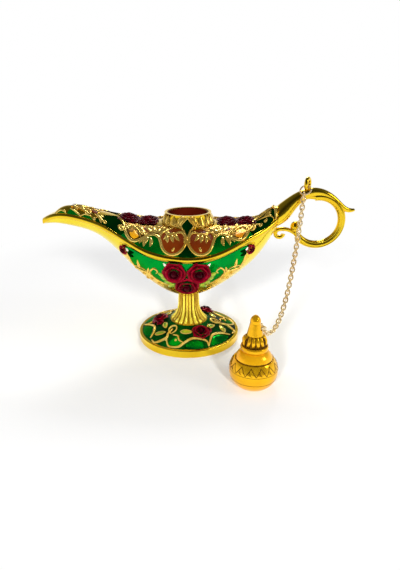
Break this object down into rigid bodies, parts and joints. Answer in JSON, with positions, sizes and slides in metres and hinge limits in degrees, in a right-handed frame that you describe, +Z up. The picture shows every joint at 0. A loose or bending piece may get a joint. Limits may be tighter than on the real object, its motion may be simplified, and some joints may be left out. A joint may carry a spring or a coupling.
{
  "type": "genie oil lamp",
  "caption": "Small enamelled gold genie oil lamp on a round foot, with a curved spout, a scroll handle and a stopper lid hung on a fine chain.",
  "frame": {"origin": "centre of the foot's underside, on the table", "axes": "+X towards the handle, the spout at -X; +Z up; the lid stands at -Y, in front of the lamp"},
  "size_m": [0.1292, 0.0737, 0.0708],
  "materials": {
    "gold": "polished gold plating",
    "lid_gold": "polished gold plating",
    "chain_gold": "pale gold plating",
    "green_enamel": "glossy enamel",
    "red_enamel": "glossy enamel",
    "red_roses": "glossy paint",
    "dark_roses": "glossy paint",
    "steel": "plain"
  },
  "bodies": {
    "lamp": {"base_screw": "steel", "base_washer": "steel", "bowl": "gold", "bowl_buds_back": "red_roses", "bowl_buds_front": "red_roses", "bowl_enamel_back": "green_enamel", "bowl_enamel_front": "green_enamel", "bowl_roses_back": "red_roses", "bowl_roses_front": "red_roses", "chain_eye": "gold", "deck": "gold", "deck_enamel_green_back": "green_enamel", "deck_enamel_green_front": "green_enamel", "deck_enamel_red_back": "red_enamel", "deck_enamel_red_front": "red_enamel", "deck_roses_handle": "dark_roses", "deck_roses_spout": "dark_roses", "foot": "gold", "foot_enamel": "green_enamel", "foot_roses": "red_roses", "handle": "gold", "neck_collar": "gold", "neck_enamel": "red_enamel", "rim_band": "gold", "stem": "gold"},
    "lid": {"lid_bulb": "lid_gold", "lid_cone": "lid_gold", "lid_dome": "lid_gold", "lid_finial": "lid_gold", "lid_nut": "steel", "lid_stud": "steel"},
    "top_ring": {"top_ring": "chain_gold"},
    "chain_links_01": {"chain_links_01": "chain_gold"},
    "chain_links_02": {"chain_links_02": "chain_gold"},
    "chain_links_03": {"chain_links_03": "chain_gold"},
    "chain_links_04": {"chain_links_04": "chain_gold"},
    "chain_links_05": {"chain_links_05": "chain_gold"},
    "chain_links_06": {"chain_links_06": "chain_gold"},
    "chain_links_07": {"chain_links_07": "chain_gold"},
    "chain_links_08": {"chain_links_08": "chain_gold"},
    "chain_links_09": {"chain_links_09": "chain_gold"},
    "chain_links_10": {"chain_links_10": "chain_gold"},
    "chain_links_11": {"chain_links_11": "chain_gold"},
    "chain_links_12": {"chain_links_12": "chain_gold"},
    "chain_links_13": {"chain_links_13": "chain_gold"},
    "chain_links_14": {"chain_links_14": "chain_gold"},
    "chain_links_15": {"chain_links_15": "chain_gold"},
    "chain_links_16": {"chain_links_16": "chain_gold"},
    "chain_links_17": {"chain_links_17": "chain_gold"},
    "chain_links_18": {"chain_links_18": "chain_gold"},
    "chain_links_19": {"chain_links_19": "chain_gold"},
    "chain_links_20": {"chain_links_20": "chain_gold"},
    "chain_links_21": {"chain_links_21": "chain_gold"},
    "chain_links_22": {"chain_links_22": "chain_gold"},
    "chain_links_23": {"chain_links_23": "chain_gold"},
    "chain_last_link": {"chain_last_link": "chain_gold"},
    "lid_ring": {"lid_ring": "chain_gold"}
  },
  "joints": [
    {"name": "lid_lift", "type": "slide", "parent": "lamp", "child": "lid", "axis": [0, 0, 1], "range_m": [0, 0.006]},
    {"name": "top_ring_turn", "type": "hinge", "parent": "lamp", "child": "top_ring", "pos_m": [0.04848, -0.00055, 0.06726], "axis": [-0.8619, 0.507, 0], "range_deg": [-2.54, 0]},
    {"name": "chain_links_01_turn", "type": "hinge", "parent": "lamp", "child": "chain_links_01", "pos_m": [0.04895, 0.00026, 0.06824], "axis": [-0.8619, 0.507, 0], "range_deg": [-2.01, 0]},
    {"name": "chain_links_02_turn", "type": "hinge", "parent": "lamp", "child": "chain_links_02", "pos_m": [0.04998, 0.00201, 0.07152], "axis": [-0.8619, 0.507, 0], "range_deg": [-1.48, 0]},
    {"name": "chain_links_03_turn", "type": "hinge", "parent": "lamp", "child": "chain_links_03", "pos_m": [0.05304, 0.00721, 0.08313], "axis": [-0.8619, 0.507, 0], "range_deg": [-0.939, 0]},
    {"name": "chain_links_04_shift", "type": "slide", "parent": "lamp", "child": "chain_links_04", "axis": [0.4563, 0.7757, -0.436], "range_m": [0, 0.000553]},
    {"name": "chain_links_05_turn", "type": "hinge", "parent": "lamp", "child": "chain_links_05", "pos_m": [0.03643, -0.02103, 0.01352], "axis": [-0.8619, 0.507, 0], "range_deg": [0, 0.786]},
    {"name": "chain_links_06_turn", "type": "hinge", "parent": "lamp", "child": "chain_links_06", "pos_m": [0.0413, -0.01275, 0.03265], "axis": [-0.8619, 0.507, 0], "range_deg": [0, 1.38]},
    {"name": "chain_links_07_turn", "type": "hinge", "parent": "lamp", "child": "chain_links_07", "pos_m": [0.0426, -0.01053, 0.03723], "axis": [-0.8619, 0.507, 0], "range_deg": [0, 1.98]},
    {"name": "chain_links_08_turn", "type": "hinge", "parent": "lamp", "child": "chain_links_08", "pos_m": [0.0431, -0.00968, 0.0386], "axis": [-0.8619, 0.507, 0], "range_deg": [0, 2.61]},
    {"name": "chain_links_09_turn", "type": "hinge", "parent": "lid", "child": "chain_links_09", "pos_m": [-0.01553, -0.10937, 0.03573], "axis": [-0.8619, 0.507, 0], "range_deg": [0, 3.26]},
    {"name": "chain_links_10_turn", "type": "hinge", "parent": "lid", "child": "chain_links_10", "pos_m": [-0.00468, -0.09092, 0.03527], "axis": [-0.8619, 0.507, 0], "range_deg": [0, 3.93]},
    {"name": "chain_links_11_turn", "type": "hinge", "parent": "lid", "child": "chain_links_11", "pos_m": [0.00287, -0.07808, 0.03446], "axis": [-0.8619, 0.507, 0], "range_deg": [0, 4.62]},
    {"name": "chain_links_12_turn", "type": "hinge", "parent": "lid", "child": "chain_links_12", "pos_m": [0.00836, -0.06874, 0.03346], "axis": [-0.8619, 0.507, 0], "range_deg": [0, 5.32]},
    {"name": "chain_links_13_turn", "type": "hinge", "parent": "lid", "child": "chain_links_13", "pos_m": [0.01248, -0.06174, 0.03234], "axis": [-0.8619, 0.507, 0], "range_deg": [0, 6.03]},
    {"name": "chain_links_14_turn", "type": "hinge", "parent": "lid", "child": "chain_links_14", "pos_m": [0.01563, -0.05639, 0.03116], "axis": [-0.8619, 0.507, 0], "range_deg": [0, 6.76]},
    {"name": "chain_links_15_turn", "type": "hinge", "parent": "lid", "child": "chain_links_15", "pos_m": [0.01807, -0.05224, 0.02994], "axis": [-0.8619, 0.507, 0], "range_deg": [0, 7.49]},
    {"name": "chain_links_16_turn", "type": "hinge", "parent": "lid", "child": "chain_links_16", "pos_m": [0.01996, -0.04903, 0.02872], "axis": [-0.8619, 0.507, 0], "range_deg": [0, 8.22]},
    {"name": "chain_links_17_turn", "type": "hinge", "parent": "lid", "child": "chain_links_17", "pos_m": [0.02143, -0.04654, 0.02754], "axis": [-0.8619, 0.507, 0], "range_deg": [0, 8.95]},
    {"name": "chain_links_18_turn", "type": "hinge", "parent": "lid", "child": "chain_links_18", "pos_m": [0.02254, -0.04464, 0.02643], "axis": [-0.8619, 0.507, 0], "range_deg": [0, 9.67]},
    {"name": "chain_links_19_turn", "type": "hinge", "parent": "lid", "child": "chain_links_19", "pos_m": [0.02338, -0.04322, 0.02543], "axis": [-0.8619, 0.507, 0], "range_deg": [0, 10.39]},
    {"name": "chain_links_20_turn", "type": "hinge", "parent": "lid", "child": "chain_links_20", "pos_m": [0.02399, -0.04218, 0.02458], "axis": [-0.8619, 0.507, 0], "range_deg": [0, 11.09]},
    {"name": "chain_links_21_turn", "type": "hinge", "parent": "lid", "child": "chain_links_21", "pos_m": [0.02442, -0.04145, 0.02392], "axis": [-0.8619, 0.507, 0], "range_deg": [0, 11.79]},
    {"name": "chain_links_22_turn", "type": "hinge", "parent": "lid", "child": "chain_links_22", "pos_m": [0.02472, -0.04094, 0.02344], "axis": [-0.8619, 0.507, 0], "range_deg": [0, 12.46]},
    {"name": "chain_links_23_turn", "type": "hinge", "parent": "lid", "child": "chain_links_23", "pos_m": [0.02493, -0.04058, 0.02313], "axis": [-0.8619, 0.507, 0], "range_deg": [0, 13.13]},
    {"name": "chain_last_link_turn", "type": "hinge", "parent": "lid", "child": "chain_last_link", "pos_m": [0.02507, -0.04035, 0.02299], "axis": [-0.8619, 0.507, 0], "range_deg": [0, 13.79]},
    {"name": "lid_ring_turn", "type": "hinge", "parent": "lid", "child": "lid_ring", "pos_m": [0.02518, -0.04015, 0.0229], "axis": [-0.8619, 0.507, 0], "range_deg": [0, 14.45]}
  ],
  "couplings": [
    {"joint": "top_ring_turn", "follows": "lid_lift", "rad_per_m": -6.5005},
    {"joint": "chain_links_01_turn", "follows": "lid_lift", "rad_per_m": -4.9739},
    {"joint": "chain_links_02_turn", "follows": "lid_lift", "rad_per_m": -3.4312},
    {"joint": "chain_links_03_turn", "follows": "lid_lift", "rad_per_m": -1.8592},
    {"joint": "chain_links_04_shift", "follows": "lid_lift", "ratio": 0.05882},
    {"joint": "chain_links_05_turn", "follows": "lid_lift", "rad_per_m": 1.4129},
    {"joint": "chain_links_06_turn", "follows": "lid_lift", "rad_per_m": 3.127},
    {"joint": "chain_links_07_turn", "follows": "lid_lift", "rad_per_m": 4.8985},
    {"joint": "chain_links_08_turn", "follows": "lid_lift", "rad_per_m": 6.7288},
    {"joint": "chain_links_09_turn", "follows": "lid_lift", "rad_per_m": 8.6173},
    {"joint": "chain_links_10_turn", "follows": "lid_lift", "rad_per_m": 10.561},
    {"joint": "chain_links_11_turn", "follows": "lid_lift", "rad_per_m": 12.557},
    {"joint": "chain_links_12_turn", "follows": "lid_lift", "rad_per_m": 14.597},
    {"joint": "chain_links_13_turn", "follows": "lid_lift", "rad_per_m": 16.674},
    {"joint": "chain_links_14_turn", "follows": "lid_lift", "rad_per_m": 18.779},
    {"joint": "chain_links_15_turn", "follows": "lid_lift", "rad_per_m": 20.902},
    {"joint": "chain_links_16_turn", "follows": "lid_lift", "rad_per_m": 23.031},
    {"joint": "chain_links_17_turn", "follows": "lid_lift", "rad_per_m": 25.156},
    {"joint": "chain_links_18_turn", "follows": "lid_lift", "rad_per_m": 27.264},
    {"joint": "chain_links_19_turn", "follows": "lid_lift", "rad_per_m": 29.347},
    {"joint": "chain_links_20_turn", "follows": "lid_lift", "rad_per_m": 31.397},
    {"joint": "chain_links_21_turn", "follows": "lid_lift", "rad_per_m": 33.41},
    {"joint": "chain_links_22_turn", "follows": "lid_lift", "rad_per_m": 35.387},
    {"joint": "chain_links_23_turn", "follows": "lid_lift", "rad_per_m": 37.331},
    {"joint": "chain_last_link_turn", "follows": "lid_lift", "rad_per_m": 39.252},
    {"joint": "lid_ring_turn", "follows": "lid_lift", "rad_per_m": 41.161}
  ]
}
